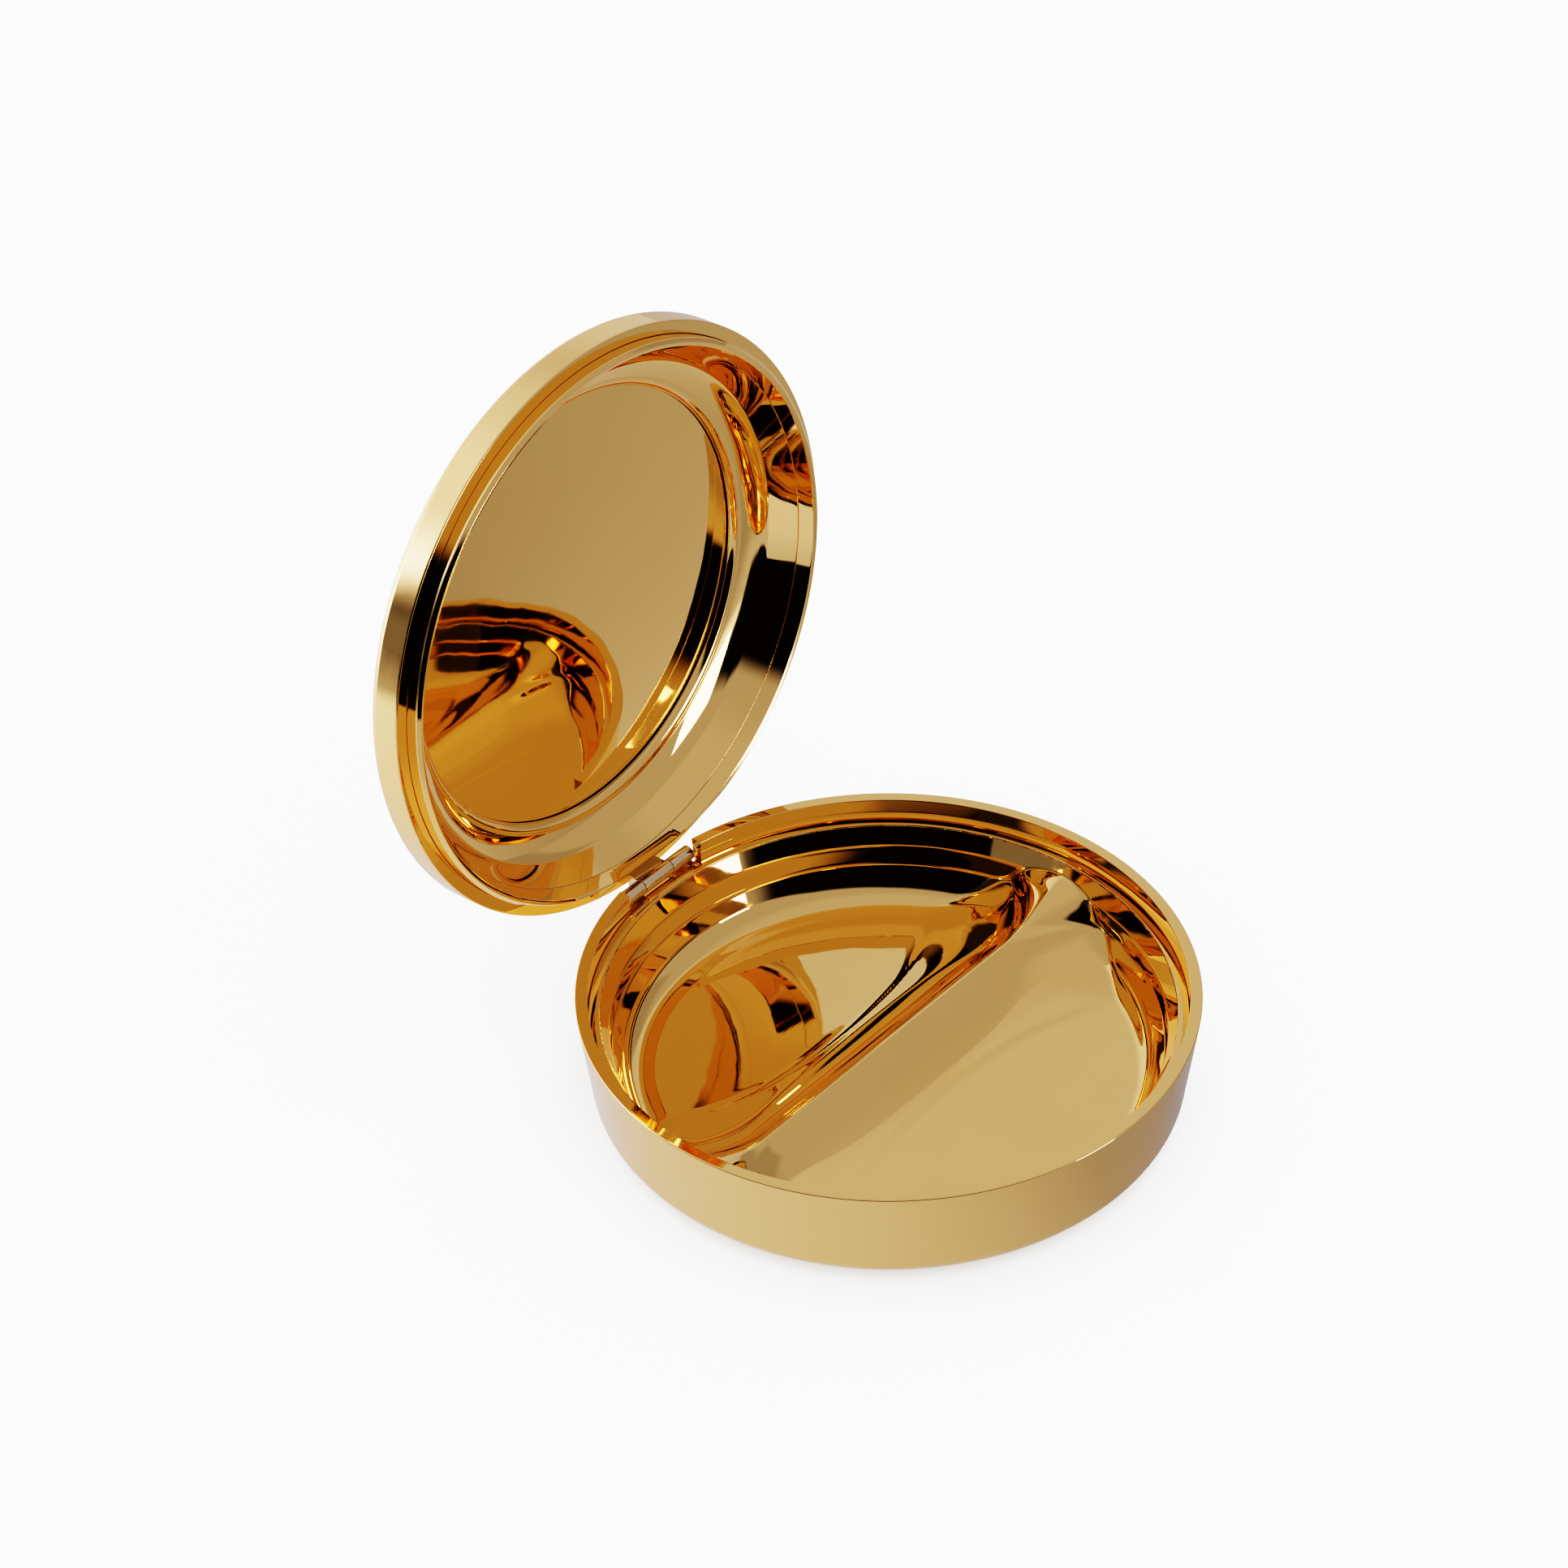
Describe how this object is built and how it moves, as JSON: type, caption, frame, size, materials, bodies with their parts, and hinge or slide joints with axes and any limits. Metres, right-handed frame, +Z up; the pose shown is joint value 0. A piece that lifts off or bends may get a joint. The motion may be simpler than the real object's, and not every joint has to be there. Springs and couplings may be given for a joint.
{
  "type": "hinged host box",
  "caption": "Low round hinged box for altar bread, with a divided dish in the base and a deep lid standing open on its hinge.",
  "frame": {"origin": "centre of the flat underside of the base, on the axis of the round case", "axes": "+Z up along the axis of the base, out of its mouth; +Y towards the hinge; +X along the hinge line and the dividing ridge"},
  "size_m": [0.09, 0.1057, 0.1038],
  "materials": {
    "gold_plate": "mirror polished gold plate",
    "hinge_metal": "polished pale drawn tube"
  },
  "bodies": {
    "base": {"base_case": "gold_plate", "divided_dish": "gold_plate", "hinge_knuckle_left": "hinge_metal", "hinge_knuckle_right": "hinge_metal", "hinge_pin": "hinge_metal"},
    "lid": {"lid_shell": "gold_plate", "lid_liner": "gold_plate", "lid_lip": "gold_plate", "hinge_knuckle_lid": "hinge_metal"}
  },
  "joints": [
    {"name": "lid_hinge", "type": "hinge", "parent": "base", "child": "lid", "pos_m": [0, 0.0445, 0.01466], "axis": [1, 0, 0], "range_deg": [0, 94]}
  ]
}
